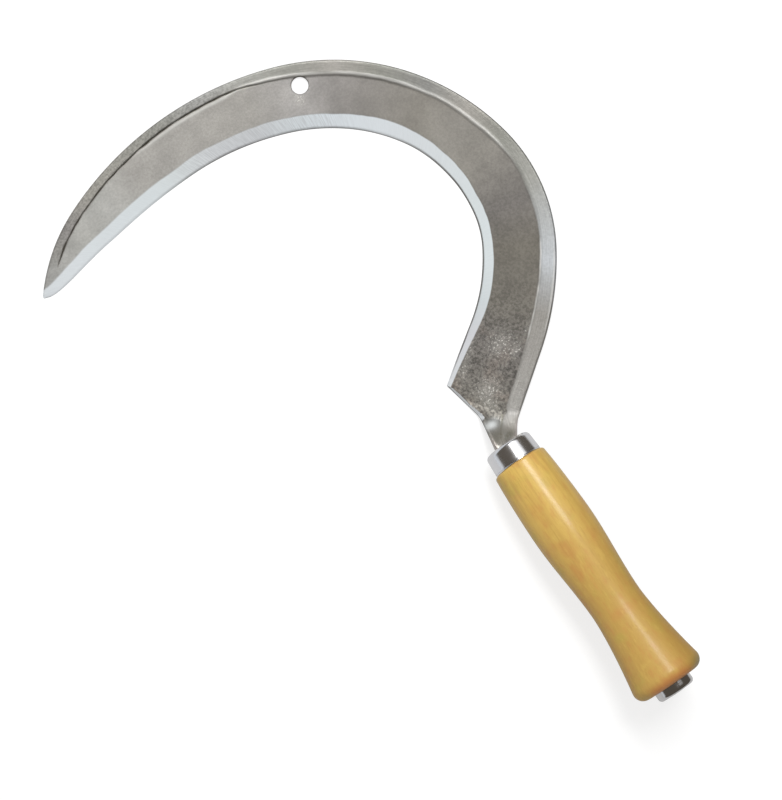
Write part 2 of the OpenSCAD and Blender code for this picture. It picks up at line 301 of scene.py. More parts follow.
def blade_wide(s):
    """The blade's width at the length s."""
    to_tip = BACK_LONG - s
    wide = HEEL_WIDE + (ROOT_WIDE - HEEL_WIDE) * ease(s / ROOT_AT)
    wide += (CROWN_WIDE - ROOT_WIDE) * ease((s - CROWN_FROM) / CROWN_RUN)
    wide += (NOSE_WIDE - CROWN_WIDE) * ease((NOSE_FROM_TIP - to_tip) / NOSE_RUN)
    return wide * (1 - max(1 - to_tip / POINT_LONG, 0) ** 2) ** POINT_FORM


def bevel_wide(s):
    """The bevel's width, which is uneven between the heel and the tip."""
    wide = HEEL_BEVEL + (ROOT_BEVEL - HEEL_BEVEL) * ease(s / HEEL_BEVEL_LONG)
    wide += (NOSE_BEVEL - ROOT_BEVEL) * ease((s - CROWN_FROM) / CROWN_RUN)
    uneven = ease((s - EVEN_TO) / EVEN_RUN) * (1 - EVEN_SHARE * ease((s - EVEN_FROM) / EVEN_RUN))
    return wide + wavy(s, 0, BEVEL_WAVES) * uneven


def rim_foot(s):
    """How deep inside the back the rim ends."""
    return wavy(s, float(np.interp(s, *zip(*RIM_FOOT))), RIM_WAVES)


# Stretches along the back: start, length of the soft start, end, length of the soft end.
GROOVE_CROWN, GROOVE_NOSE = (262, 20, 300, 10), (292, 22, BACK_LONG - GROOVE_END - 6, 8)
BEAD_LOW, BEAD_CROWN, BEAD_NOSE = (36, 14, 86, 18), (135, 30, 300, 26), (308, 15, 365, 25)
BEAD_DIM, LOW_RIM, CORNER_HIGHLIGHT = (130, 15, 190, 25), (75, 30, 205, 30), (42, 10, 84, 12)
HONED = (6, 20, 340, 60)

# The groove's depth at the crown and the nose, and how strong its painted shade is.
CROWN_GROOVE, NOSE_GROOVE, GROOVE_SHADE = 0.05, 0.22, 0.9
GROOVE_HALF, GROOVE_MORE, GROOVE_LEAST = 0.24, 0.11, 0.15
# A painted highlight along the rounded corner of the back: its depth, half width and brightness.
LINE_AT, LINE_HALF, LINE_BRIGHT = 1.3, 0.3, 0.8

# The ridge's measures over the whole back, and what its low, crown and nose stretches add. Its brightness is
# a painted highlight along the ridge.
BEAD_HIGH, BEAD_IN = (0, 0.05, 0.10, 0.06), (-0.2, 0, -0.7, 1.6)
BEAD_HALF, BEAD_BRIGHT = (0.42, 0, 0.33, 0.5), (0, 0.9, 0.9, 0.6)


def groove(s):
    """Depth, half width and painted shade of the groove at the rim's foot."""
    crown = 0.4 * window(s, *GROOVE_CROWN)
    nose = window(s, *GROOVE_NOSE) * (1 + 0.45 * wobble(s, 5, 5))
    wide = GROOVE_HALF + GROOVE_MORE * nose * (1 + 1.2 * wobble(s, 9, 8))
    dark = GROOVE_SHADE * crown + GROOVE_SHADE * nose
    return CROWN_GROOVE * crown + NOSE_GROOVE * nose, max(wide, GROOVE_LEAST), min(dark, 1)


def bead(s):
    """Height, place inside the groove, half width and brightness of the ridge beside the groove. The
    brightness is a painted highlight.
    """
    low = window(s, *BEAD_LOW) * (1 + 0.5 * wobble(s, 5, 9))
    crown = window(s, *BEAD_CROWN) * (0.95 + 0.25 * wobble(s, 15, 6))
    nose = window(s, *BEAD_NOSE)
    dimmed = crown * (1 - 0.3 * window(s, *BEAD_DIM))
    stretches = [(1, low, crown, nose)] * 3 + [(1, low, dimmed, nose)]
    measures = BEAD_HIGH, BEAD_IN, BEAD_HALF, BEAD_BRIGHT
    return [sum(a * b for a, b in zip(*pair)) for pair in zip(measures, stretches)]


CORNER_PTS, RIM_PTS, FOOT_PTS, BODY_PTS, BOUND_PTS, BEVEL_PTS, UNDER_PTS = 7, 6, 18, 30, 8, 9, 14
FOOT_REACH, BOUND_REACH, LEAST_BODY = 2.6, 0.9, 2


def top_depths(wide, foot, bevel):
    """Depths of the points across the blade's upper side, closer together where it bends."""
    needed = foot + FOOT_REACH + LEAST_BODY + BOUND_REACH + bevel
    full = max(wide, needed)
    corner = BACK_ROUND * (1 - np.cos(np.linspace(0, math.pi / 2, CORNER_PTS)))
    marks = [BACK_ROUND, foot - FOOT_REACH, foot + FOOT_REACH, full - bevel - BOUND_REACH]
    marks += [full - bevel + BOUND_REACH if bevel > BOUND_REACH else full - bevel / 2, full]
    runs = [RIM_PTS, FOOT_PTS, BODY_PTS, BOUND_PTS, BEVEL_PTS]
    spread = [np.linspace(a, b, n + 1)[1:] for a, b, n in zip(marks, marks[1:], runs)]
    return np.concatenate([corner, *spread]) * wide / full


def soft_min(a, b, blur):
    """The lesser of a and b, with the step between them rounded."""
    return -blur * np.logaddexp(-a / blur, -b / blur)


def dents(s, depth, high, long, wide, seed):
    """The height there of random waves of that height, length and width."""
    return high * noise.noise(Vector((s / long, depth / wide, seed)))


def forge_marks(s, depths):
    """The low waves of the hammer, and the pits of the scale near the heel."""
    pit_deep = PIT_DEEP * (1 - ease((s - PITS_TO) / PITS_FADE))
    marks = np.zeros(len(depths))
    for i, d in enumerate(depths):
        marks[i] = sum(dents(s, d, *wave) for wave in HAMMERED) + dents(s, d, pit_deep, *PITS)
    return marks * ease(depths / 2)


def blade_section(s):
    """Depths, heights and the share of each finish, around the blade's section at the length s."""
    wide, bevel, foot = blade_wide(s), bevel_wide(s), rim_foot(s)
    body = BODY_THICK + (TIP_THICK - BODY_THICK) * s / BACK_LONG
    fade = 1 - ease((s - BACK_LONG + GROOVE_END + RIM_AHEAD) / RIM_FADE)
    step = min(RIM_STEP + (TIP_STEP - RIM_STEP) * s / BACK_LONG, MOST_STEP) * fade
    step *= 1 - RIM_LOWERED * window(s, *LOW_RIM)
    slim = body / BODY_THICK
    depth = top_depths(wide, foot, bevel)
    slope = float(np.interp(s, *zip(*RIM_SLOPE)))
    on_rim = 1 - ease((depth - foot + slope / 2 + RIM_SHIFT) / slope)
    groove_deep, groove_half, groove_dark = groove(s)
    in_groove = np.exp(-(((depth - foot) / groove_half) ** 2))
    bead_high, bead_in, bead_half, bead_bright = bead(s)
    on_bead = np.exp(-(((depth - foot - bead_in) / bead_half) ** 2))
    forged = body + step * on_rim - groove_deep * in_groove + bead_high * on_bead + forge_marks(s, depth)
    blunt = max(EDGE_THICK, body - BEVEL_SLOPE * bevel)
    ground = blunt + (wide - depth) * (body - blunt) / bevel
    honed = ground - HONED_DROP + (wide - depth) * HONED_EXTRA
    height = soft_min(soft_min(forged, ground, BEVEL_BLUR), honed, HONED_BLUR)
    corner = np.clip(1 - depth / BACK_ROUND, 0, 1)
    height -= BACK_ROUND * BACK_ROUND_DEEP * slim * (1 - np.sqrt(1 - corner ** 2))
    # Painted highlight along the rounded corner of the back.
    corner_highlight = np.exp(-(((depth - LINE_AT) / LINE_HALF) ** 2))
    corner_highlight = LINE_BRIGHT * window(s, *CORNER_HIGHLIGHT) * corner_highlight
    shares = {
        "rim": (1 - ease((depth - foot + RIM_SOFT) / (2 * RIM_SOFT))) * fade,
        "groove": groove_dark * in_groove,
        "bead": np.maximum(bead_bright * on_bead, corner_highlight),
        "bevel": ease((forged - ground) / BEVEL_BLEND + 0.5),
        "edge": ease((ground - honed) / EDGE_BLEND + 0.5) * window(s, *HONED),
    }
    chamfer = BACK_CHAMFER * slim
    under = np.linspace(wide - EDGE_UNDER, min(chamfer, wide / 2), UNDER_PTS)
    extra = np.concatenate([[wide], under, [0, 0]])
    corner_high = [chamfer, (chamfer + height[0]) / 2]
    extra_high = np.concatenate([[height[-1] * EDGE_HIGH], np.zeros(UNDER_PTS), corner_high])
    shares = {name: np.concatenate([share, np.zeros(len(extra))]) for name, share in shares.items()}
    return np.concatenate([depth, extra]), np.concatenate([height, extra_high]), shares


def rounded(a, b, c, radius, steps=24):
    """The path from a to c with its corner b rounded."""
    u, v = (a - b).normalized(), (c - b).normalized()
    half = u.angle(v) / 2
    reach = min(radius / math.tan(half), (a - b).length, (c - b).length)
    radius = reach * math.tan(half)
    middle = b + (u + v).normalized() * radius / math.sin(half)
    start, end = b + u * reach - middle, b + v * reach - middle
    bend = [middle + start.lerp(end, i / steps).normalized() * radius for i in range(steps + 1)]
    return np.array([a, *bend, c])


def along(path, share):
    """The point at that share of the path's length."""
    lengths = np.concatenate([[0], np.cumsum(np.hypot(*np.diff(path, axis=0).T))])
    return np.array([np.interp(share * lengths[-1], lengths, path[:, k]) for k in (0, 1)])


RING_FINE, RING_BLUR, TOP_TO_FOOT = 480, 9, 0.46


def neck_ring(filled):
    """The neck's section, a channel with two rounded lips, as parts of its width and heights."""
    low, lip, deep = NECK_HIGH * 0.16, NECK_HIGH, NECK_HIGH - CHANNEL * (1 - filled)
    top = [(0, 0.5 * lip), (0, 0.62 * lip), (0.02, 0.85 * lip), (0.08, lip)]
    top += [(0.2, lip * (0.95 + 0.05 * filled)), (0.5, deep), (0.7, deep + 0.4 * (lip - deep))]
    top += [(0.84, lip * (0.93 + 0.07 * filled)), (0.93, lip), (1, 0.8 * lip), (1, 0.5 * lip)]
    under = [(0.9, low), (0.5, 0), (0.12, low), (0.04, 0.24 * lip), (0, 0.38 * lip)]
    ring = np.array(top + under + top[:1]) * (NECK_WIDE, 1)
    steps = np.hypot(*np.diff(ring, axis=0).T)
    lengths = np.concatenate([[0], np.cumsum(steps)])
    fine = np.linspace(0, lengths[-1], RING_FINE, endpoint=False)
    smooth = np.array([np.interp(fine, lengths, ring[:, k]) for k in (0, 1)])
    smooth = sum(np.roll(smooth, k, axis=1) for k in range(-RING_BLUR, RING_BLUR + 1))
    smooth /= 2 * RING_BLUR + 1
    top_end = lengths[len(top) - 1]
    marks = [0, FOOT_STATION, STATIONS - UNDER_PTS - 4, STATIONS]
    at = np.interp(np.arange(STATIONS), marks, [0, TOP_TO_FOOT * top_end, top_end, lengths[-1]])
    ring = np.array([np.interp(at, fine, smooth[k], period=lengths[-1]) for k in (0, 1)])
    return ring / [[NECK_WIDE], [1]]


heel_depth, heel_high, heel_shares = blade_section(HEEL_CUT)
STATIONS = len(heel_depth)
FOOT_STATION = CORNER_PTS + RIM_PTS + FOOT_PTS // 2
TOP_STATIONS = STATIONS - UNDER_PTS - 3
on_top = np.arange(STATIONS) < TOP_STATIONS
heel_wide = blade_wide(HEEL_CUT)
left_side = rounded(inside(HEEL_CUT, heel_wide), PINCH, Vector((-NECK_WIDE / 2, 0)), PINCH_R)
right_side = rounded(back_at(HEEL_CUT)[0], BACK_START, Vector((NECK_WIDE / 2, 0)), CRANK_R)

# Spots that are rubbed light: length, depth, half length, half depth and strength.
RUBBED = [(9, 19.6, 7, 6, 1.5), (0.5, 19, 5, 5, 1), (33.5, 21.3, 8, 6.5, 1.2), (33.5, 12.6, 3.2, 2, 1.5)]
RUBBED += [(14, 34.9, 8, 2.5, 1), (28, 35.5, 9, 1.8, 0.7), (46, 10.8, 5, 0.9, 0.9), (280, 19.2, 3.6, 3, 0.9)]

marked = ["along", "across", "neck", "polish", "stain", "lip", "dulled", "rubbed", *heel_shares]
rings, tints = [], {name: [] for name in marked}


def rubbed(s, depth):
    """How rubbed the blade is there."""
    spots = [(k, (s - at) / a, (depth - deep) / b) for at, deep, a, b, k in RUBBED]
    return sum(k * np.exp(-(x ** 2) - y ** 2) for k, x, y in spots)


def keep(points, length, across, shares):
    """Adds a ring of points, and where it lies, to the blade."""
    rings.append(np.asarray(points))
    shares = {"along": length, "across": across, **shares}
    for name in tints:
        tints[name].append(np.broadcast_to(np.asarray(shares.get(name, 0), float), STATIONS))


BLADE_STEPS, NECK_STEPS = 470, 72
for s in np.linspace(BACK_LONG - TIP_GAP, HEEL_CUT, BLADE_STEPS + 1):
    depth, height, shares = blade_section(s)
    wide = blade_wide(s)
    end = np.clip((s - BACK_LONG + TIP_GAP + TIP_ROUND) / TIP_ROUND, 0, 1)
    inset = min(TIP_ROUND * (1 - math.sqrt(1 - end ** 2)), 0.35 * wide)
    laid = BACK_INSET + inset + depth * (wide - BACK_INSET - 2 * inset) / wide
    point, heading = back_at(s)
    inward = -math.sin(heading), math.cos(heading)
    ring = np.column_stack([point.x + laid * inward[0], point.y + laid * inward[1], height])
    keep(ring, s, depth, {**shares, "rubbed": on_top * rubbed(s, depth)})


def away_from(path, spots):
    """The distance of each spot from the path."""
    a, b = path[:-1], path[1:]
    reach = b - a
    share = ((spots[:, None] - a) * reach).sum(2) / np.maximum((reach ** 2).sum(1), 1e-9)
    near = a + reach * np.clip(share, 0, 1)[:, :, None]
    return np.hypot(*(spots[:, None] - near).transpose(2, 0, 1)).min(1)


def blot(spots, middle, radii, lean=0):
    """1 at the middle of an oval, and 0 outside it."""
    x, y = (spots - middle).T
    turned = x * math.cos(lean) + y * math.sin(lean), y * math.cos(lean) - x * math.sin(lean)
    return np.exp(-((turned[0] / radii[0]) ** 2) - (turned[1] / radii[1]) ** 2)


# Stages along the neck: the start and the length of each, as shares of the neck.
CLIMBING, LEANING, FILLING = (0.5, 0.5), (0.6, 0.4), (0.88, 0.12)
CUT_RISES, CUT_ENDS, FORGED_ENDS, BEVEL_ENDS = (0.1, 0.45), (0.5, 0.22), (0.2, 0.5), (0.35, 0.3)
TURN_FROM, TURN_TO, RIM_EARLIER, RIM_SIDE = 0.2, 0.72, 0.15, 0.35
CUT_RISE, CUT_CLEAR, CUT_BLUR = 1.0, 9, 0.04

# Spots on the neck: the middle, the half width and half height, and the lean. The polished spot also carries
# a painted highlight, and the pools and the crease carry painted shade.
POLISHED_HIGHLIGHT_SPOT = (-0.3, 12.4), (3.8, 2.6), math.radians(-12)
DULL_SPOT = (11.2, 9.4), (5.4, 5.4)
SHADE_POOL, SIDE_SHADE_POOL = ((-0.6, 5.8), (5, 3)), ((3.8, 3.2), (3.2, 1.8))
CREASE = np.array([(7.4, 13.6), (6.2, 11.8), (2.3, 7.9), (-0.2, 4.3)])
CREASE_HALF = 0.4

# How far before the mouth the drawn steel and the low part of the neck begin, and fade in.
DRAWN_FROM, DRAWN_RUN, LOW_FROM, LOW_RUN = 13, 8, 9, 5


def passed(f, start, run):
    """0 before the start of a stage, 1 after its end, and smooth in between."""
    return float(ease((f - start) / run))


def neck_shape(f, s):
    """Parts of the width, heights and share of the turn, at the share f of the neck."""
    start = TURN_FROM - RIM_EARLIER * (1 - ease(heel_depth / heel_wide / RIM_SIDE))
    turned = ease((f - start) / (TURN_TO - start))
    part, high = neck_ring(passed(f, *FILLING))
    part = (1 - turned) * heel_depth / heel_wide + turned * part
    marks = forge_marks(s, heel_depth) - forge_marks(HEEL_CUT, heel_depth)
    high = (1 - turned) * (heel_high + on_top * marks) + turned * high
    return part, high, turned


def neck_finish(f, s, flat, across, turned, from_cut):
    """The share of each finish on a ring of the neck, apart from the bevel along the cut. Its polished spot
    carries a painted highlight, its lips painted light, and its pools and crease painted shade.
    """
    from_back = away_from(right_side, flat)
    fade = 1 - passed(f, *FORGED_ENDS)
    low = ease((LOW_FROM - flat[:, 1]) / LOW_RUN)
    # Painted shade in pools on the neck and along its crease.
    pooled_lacquer_and_shade = np.maximum(0.7 * blot(flat, *SHADE_POOL), 1.2 * blot(flat, *SIDE_SHADE_POOL))
    crease_shade = ease(1.6 - away_from(CREASE, flat) / CREASE_HALF)
    shares = {
        **{name: share * fade for name, share in heel_shares.items()},
        "neck": ease((DRAWN_FROM - flat[:, 1]) / DRAWN_RUN),
        # Polished steel with a painted highlight on it.
        "polish": on_top * blot(flat, *POLISHED_HIGHLIGHT_SPOT),
        "dulled": on_top * ease(1.6 * blot(flat, *DULL_SPOT)),
        "stain": on_top * np.maximum(pooled_lacquer_and_shade, crease_shade),
        "rubbed": on_top * rubbed(s, across) * (1 - turned),
        # Painted light on the channel's raised lips near the mouth.
        "lip": on_top * low * np.maximum(ease(2.2 - from_cut), ease(1.8 - from_back)),
        "bevel": heel_shares["bevel"] * (1 - passed(f, *BEVEL_ENDS)),
        "edge": on_top * (1 - passed(f, *CUT_ENDS)) * ease(1.5 - from_cut / 0.3),
    }
    shares["rim"] = np.maximum(shares["rim"], heel_shares["rim"] * (1 - low))
    return shares


rise = MOUTH.z - NECK_HIGH / 2
for i in range(1, NECK_STEPS + 1):
    f = i / NECK_STEPS
    s = HEEL_CUT - NECK_LONG * f
    part, high, turned = neck_shape(f, s)
    right, left = along(right_side, f), along(left_side, f)
    flat = right[None] + part[:, None] * (left - right)[None]
    on_cut = 1 - passed(f, *CUT_ENDS)
    raised = CUT_RISE * passed(f, *CUT_RISES) + CUT_CLEAR * (1 - on_cut)
    from_cut = away_from(left_side, flat)
    chamfer = EDGE_THICK + from_cut * (BODY_THICK - EDGE_THICK) / CUT_BEVEL + raised
    up = high - NECK_HIGH / 2
    under_cut = ease((up + NECK_HIGH / 2 - chamfer) / BEVEL_BLEND + 0.5)
    up = np.where(on_top, soft_min(up + NECK_HIGH / 2, chamfer, CUT_BLUR) - NECK_HIGH / 2, up)
    lift = rise * passed(f, *CLIMBING)
    lean = HANDLE_TILT * passed(f, *LEANING)
    y, z = flat[:, 1] + up * math.sin(lean), NECK_HIGH / 2 + lift + up * math.cos(lean)
    finish = neck_finish(f, s, flat, part * heel_wide, turned, from_cut)
    finish["bevel"] = np.maximum(finish["bevel"], on_top * under_cut * on_cut)
    keep(np.column_stack([flat[:, 0], y, z]), s, part * heel_wide, finish)

bar = np.column_stack([(part - 0.5) * -NECK_WIDE, high - NECK_HIGH / 2])
spokes = bar / np.hypot(*bar.T)[:, None]


def tang_ring(outline, a):
    """A ring of the tang at the distance a behind the mouth, square to the handle's axis."""
    x, up = outline.T
    sine, cosine = math.sin(HANDLE_TILT), math.cos(HANDLE_TILT)
    ring = np.column_stack([x, up * sine - a * cosine, MOUTH.z + up * cosine + a * sine])
    keep(ring, -NECK_LONG - a, TANG_ACROSS, {"neck": 1})


for outline, a in [(bar, SHEET / 2), (bar, SHEET), (spokes * TANG_R, SHEET)]:
    tang_ring(outline, a)
for radius, a in [
    (TANG_R, CAP_END - SINK), (PEEN_R, CAP_END - 0.05), (PEEN_R - 0.25, CAP_END + 0.12),
    (PEEN_R * 0.7, CAP_END + 0.26), (PEEN_R * 0.35, CAP_END + 0.32), (PEEN_R * 0.05, CAP_END + 0.34),
]:
    tang_ring(spokes * radius, a)

points = (np.concatenate(rings) + (MOUTH.x, MOUTH.y, 0)).tolist()
lay = {name: np.concatenate(values).tolist() for name, values in tints.items()}

# The hang hole is punched through the body, and its edges are broken. Its wall and broken edge carry painted
# shade, strongest on the side towards the back.
HOLE_SIDES, HOLE_EDGE, HOLE_CLEAR, HOLE_WALL_SHADE, HOLE_START = 96, 0.3, 0.12, 0.8, 0.01
HOLE_BACK_R = BACK_ARCS[2][0]
hole, back_middle = inside(HOLE_AT, HOLE_IN), inside(HOLE_AT, HOLE_BACK_R)
flat = np.array(points)[:, :2] - MOUTH.xy
cleared = np.hypot(*(flat - hole).T) < HOLE_R + HOLE_EDGE + HOLE_CLEAR

quads = []
for i in range(len(rings) - 1):
    for j in range(STATIONS):
        here, beside = i * STATIONS + j, i * STATIONS + (j + 1) % STATIONS
        quads.append((here, beside, beside + STATIONS, here + STATIONS))
punched = [quad for quad in quads if cleared[list(quad)].any()]
faces = [quad for quad in quads if not cleared[list(quad)].any()]
last = (len(rings) - 1) * STATIONS
faces += [tuple(range(STATIONS - 1, -1, -1)), tuple(range(last, last + STATIONS))]


def border(quads):
    """The points round a patch of the mesh, in the order in which its faces turn."""
    sides = {(a, b) for quad in quads for a, b in zip(quad, quad[1:] + quad[:1])}
    after = {a: b for a, b in sides if (b, a) not in sides}
    loop = [min(after)]
    while after[loop[-1]] != loop[0]:
        loop.append(after[loop[-1]])
    return loop


def angle_at_hole(index):
    """The point's direction from the middle of the hole."""
    return math.atan2(points[index][1] - hole.y - MOUTH.y, points[index][0] - hole.x - MOUTH.x)


def from_lowest(loop):
    """The loop from its point of the lowest angle on, and the angles, up to a full turn more."""
    first = min(range(len(loop)), key=lambda k: angle_at_hole(loop[k]))
    loop = loop[first:] + loop[:first + 1]
    angles = [angle_at_hole(index) for index in loop]
    angles[-1] += 2 * math.pi
    return loop, np.unwrap(angles)


def stitch(outer, inner, side):
    """Triangles between two loops round the hole, facing up for side 1 and down for side -1."""
    (outer, outer_turn), (inner, inner_turn) = from_lowest(outer), from_lowest(inner)
    i = j = 0
    while i < len(outer) - 1 or j < len(inner) - 1:
        at_end = i == len(outer) - 1, j == len(inner) - 1
        if not at_end[0] and (at_end[1] or outer_turn[i + 1] <= inner_turn[j + 1]):
            made, i = (outer[i], outer[i + 1], inner[j]), i + 1
        else:
            made, j = (outer[i], inner[j + 1], inner[j]), j + 1
        faces.append(made[::side])


def hole_loop(radius, drop, side, dark):
    """Points round the hole, that far under the blade's upper side or over its lower one."""
    loop = []
    for q in np.linspace(-math.pi, math.pi, HOLE_SIDES, endpoint=False) + HOLE_START:
        spot = hole + Vector((math.cos(q), math.sin(q))) * radius
        start, out = back_at(HOLE_AT)[0] - back_middle, spot - back_middle
        s = HOLE_AT + HOLE_BACK_R * math.atan2(start.x * out.y - start.y * out.x, start.dot(out))
        d = HOLE_BACK_R - out.length
        # Painted shade on the hole's wall, strongest on the side towards the back.
        painted_shade = HOLE_WALL_SHADE * math.cos(q - back_at(s)[1] + math.pi / 2)
        finish = {"along": s, "across": d, "groove": max(dark, painted_shade)}
        high = drop
        if side > 0:
            depth, height, shares = blade_section(s)
            high = np.interp(d, depth[on_top], height[on_top]) - drop
            finish["rubbed"] = rubbed(s, d)
            for name, share in shares.items():
                there = np.interp(d, depth[on_top], share[on_top])
                finish[name] = max(finish.get(name, 0), there)
        points.append([spot.x + MOUTH.x, spot.y + MOUTH.y, float(high)])
        for name, values in lay.items():
            values.append(float(finish.get(name, 0)))
        loop.append(len(points) - 1)
    return loop


walls = []
for side in (1, -1):
    patch = [quad for quad in punched if (quad[0] % STATIONS < TOP_STATIONS) == (side > 0)]
    loops = [
        hole_loop(HOLE_R + HOLE_EDGE, 0, side, 0),
        # The wall's top loop, painted dark as shade.
        hole_loop(HOLE_R, HOLE_EDGE, side, HOLE_WALL_SHADE),
    ]
    stitch(border(patch)[::side], loops[0], side)
    walls += loops[::side]
for a, b in zip(walls, walls[1:]):
    faces += [(a[k], a[(k + 1) % HOLE_SIDES], b[(k + 1) % HOLE_SIDES], b[k]) for k in range(HOLE_SIDES)]

SHARP_FROM = math.radians(38)
forging = bpy.data.meshes.new("blade_mesh")
forging.from_pydata((np.array(points) * MM).tolist(), [], faces)
forging.shade_smooth()
forging.set_sharp_from_angle(angle=SHARP_FROM)
for name, values in lay.items():
    forging.attributes.new(name, "FLOAT", "POINT").data.foreach_set("value", values)
blade = put("blade_forging", forging)

STEEL_ROUGH, RIM_ROUGH, GROUND_ROUGH, NECK_ROUGH, POLISHED_ROUGH = 0.52, 0.48, 0.50, 0.46, 0.34
FORGED_METAL, GROUND_METAL, BEAD_METAL, DULL_METAL = 0.75, 0.25, 0.35, 0.15
NECK_SHARE, EDGE_SHARE, STEEL_RELIEF = 0.85, 0.95, 0.18
GRINDING_LEAN = math.radians(62)

# Colours along the back, from the heel at 0 to the tip at 1.
BODY_TINTS = [
    (0, (0.19, 0.18, 0.16)), (0.07, (0.15, 0.14, 0.13)), (0.12, (0.17, 0.16, 0.14)),
    (0.2, (0.15, 0.14, 0.12)), (0.26, (0.16, 0.15, 0.14)), (0.34, (0.21, 0.20, 0.18)),
    (0.39, (0.22, 0.21, 0.19)), (0.44, (0.19, 0.18, 0.16)), (0.55, (0.22, 0.21, 0.20)),
    (0.6, (0.32, 0.31, 0.30)), (0.66, (0.31, 0.30, 0.28)), (0.82, (0.36, 0.35, 0.33)),
    (0.87, (0.46, 0.46, 0.44)), (0.92, (0.41, 0.41, 0.39)), (1, (0.41, 0.41, 0.40)),
]
RIM_TINTS = [
    (0, (0.41, 0.40, 0.38)), (0.12, (0.29, 0.28, 0.26)), (0.18, (0.42, 0.44, 0.46)),
    (0.28, (0.28, 0.28, 0.26)), (0.34, (0.20, 0.20, 0.18)), (0.39, (0.25, 0.24, 0.22)),
    (0.44, (0.18, 0.18, 0.17)), (0.5, (0.19, 0.19, 0.17)), (0.55, (0.26, 0.25, 0.23)),
    (0.6, (0.22, 0.22, 0.20)), (0.66, (0.30, 0.30, 0.28)), (0.71, (0.28, 0.28, 0.27)),
    (0.76, (0.25, 0.25, 0.23)), (0.87, (0.35, 0.34, 0.31)), (0.92, (0.29, 0.28, 0.27)),
    (1, (0.46, 0.46, 0.42)),
]
GROUND_TINTS = [
    (0, (0.70, 0.73, 0.75)), (0.07, (0.60, 0.61, 0.64)), (0.12, (0.61, 0.66, 0.68)),
    (0.18, (0.70, 0.76, 0.78)), (0.28, (0.73, 0.79, 0.81)), (0.44, (0.69, 0.73, 0.76)),
    (0.55, (0.68, 0.73, 0.77)), (0.6, (0.64, 0.69, 0.72)), (0.66, (0.55, 0.57, 0.59)),
    (0.72, (0.60, 0.62, 0.64)), (0.77, (0.63, 0.67, 0.68)), (0.82, (0.64, 0.69, 0.71)),
    (1, (0.69, 0.73, 0.76)),
]

SCRATCH_TINT = (0.40, 0.415, 0.43)
# Painted highlight along the ridge beside the groove and along the back's corner.
BEAD_HIGHLIGHT_TINT = (0.66, 0.655, 0.63)
# Painted shade for the groove at the rim's foot and for the hang hole's wall.
RECESS_SHADE_TINT = (0.085, 0.075, 0.055)
EDGE_TINT = (0.11, 0.105, 0.10)
NECK_TINT = (0.45, 0.43, 0.395)
# Painted highlight on the neck's polished spot.
POLISHED_HIGHLIGHT_TINT = (0.84, 0.87, 0.87)
# Painted shade on the neck.
NECK_SHADE_TINT = (0.26, 0.25, 0.205)
# Painted light on the neck's raised lips.
LIP_LIT_TINT = (0.50, 0.455, 0.43)
RUST_TINT = (0.17, 0.12, 0.095)
RUBBED_TINT = (0.62, 0.605, 0.56)


def gradient(tree, value, stops):
    """The colours of the stops, each (place from 0 to 1, colour), along the value."""
    ramp = add(tree, "ValToRGB", {0: value})[0]
    band = ramp.node.color_ramp.elements
    for element, (place, colour) in zip((band[0], band[1]), (stops[0], stops[-1])):
        element.position = place
        element.color = (*colour, 1)
    for place, colour in stops[1:-1]:
        band.new(place).color = (*colour, 1)
    return ramp


def group_of(name, numbers, result):
    """An empty shader group that makes a number from a vector and those numbers. Also puts out
    the group's inputs by name, and the socket of its result."""
    made = bpy.data.node_groups.new(name, "ShaderNodeTree")
    made.interface.new_socket("Vector", in_out="INPUT", socket_type="NodeSocketVector")
    for socket, way in [*((number, "INPUT") for number in numbers), (result, "OUTPUT")]:
        made.interface.new_socket(socket, in_out=way, socket_type="NodeSocketFloat")
    given, results = made.nodes.new("NodeGroupInput"), made.nodes.new("NodeGroupOutput")
    return made, given.outputs, results.inputs[0]


def use(tree, group, inputs):
    """The result of a group that is placed in the tree with those inputs."""
    return add(tree, "Group", inputs, node_tree=group)[0]


def new_finish(name):
    """A new material, its node tree and its Principled shader."""
    material = bpy.data.materials.new(name)
    material.use_nodes = True
    return material, material.node_tree, material.node_tree.nodes["Principled BSDF"]


def noisy(tree, vector, scale, detail, rough=0.5):
    """Noise from 0 to 1, alike in all directions."""
    inputs = {"Vector": vector, "Scale": scale, "Detail": detail, "Roughness": rough}
    return add(tree, "TexNoise", inputs)[0]


def add_relief(tree, shader, high, strength, deep):
    """Lays a relief of that depth on the shader."""
    bump = {"Height": high, "Strength": strength, "Distance": deep * MM}
    feed(tree, shader, {"Normal": add(tree, "Bump", bump)[0]})


# Fine streaks: noise that is drawn out along the first axis of its coordinates.
streaks, given, result = group_of("streaks", ["Along", "Across", "Detail"], "Value")
stretch = add(streaks, "CombineXYZ", {0: given["Along"], 1: given["Across"], 2: given["Across"]})
drawn = add(streaks, "VectorMath", {0: given["Vector"], 1: stretch[0]}, operation="MULTIPLY")
lines = noisy(streaks, drawn[0], 1, given["Detail"], 0.6)
streaks.links.new(lines, result)

# Specks: scattered small spots, as many as Share lets through.
specks, given, result = group_of("specks", ["Size", "Share", "Softness"], "Mask")
spots = noisy(specks, given["Vector"], calc(specks, "DIVIDE", 1, given["Size"]), 2, 0.65)
limit = calc(specks, "SUBTRACT", 0.78, times(specks, given["Share"], 0.5))
over = calc(specks, "DIVIDE", calc(specks, "SUBTRACT", spots, limit), given["Softness"])
specks.links.new(calc(specks, "ADD", over, 0, clamp=True), result)


def streaky(tree, vector, along_it, across_it, detail):
    """Fine streaks, by how dense they are along the first axis and across it."""
    inputs = {"Vector": vector, "Along": along_it, "Across": across_it, "Detail": detail}
    return use(tree, streaks, inputs)


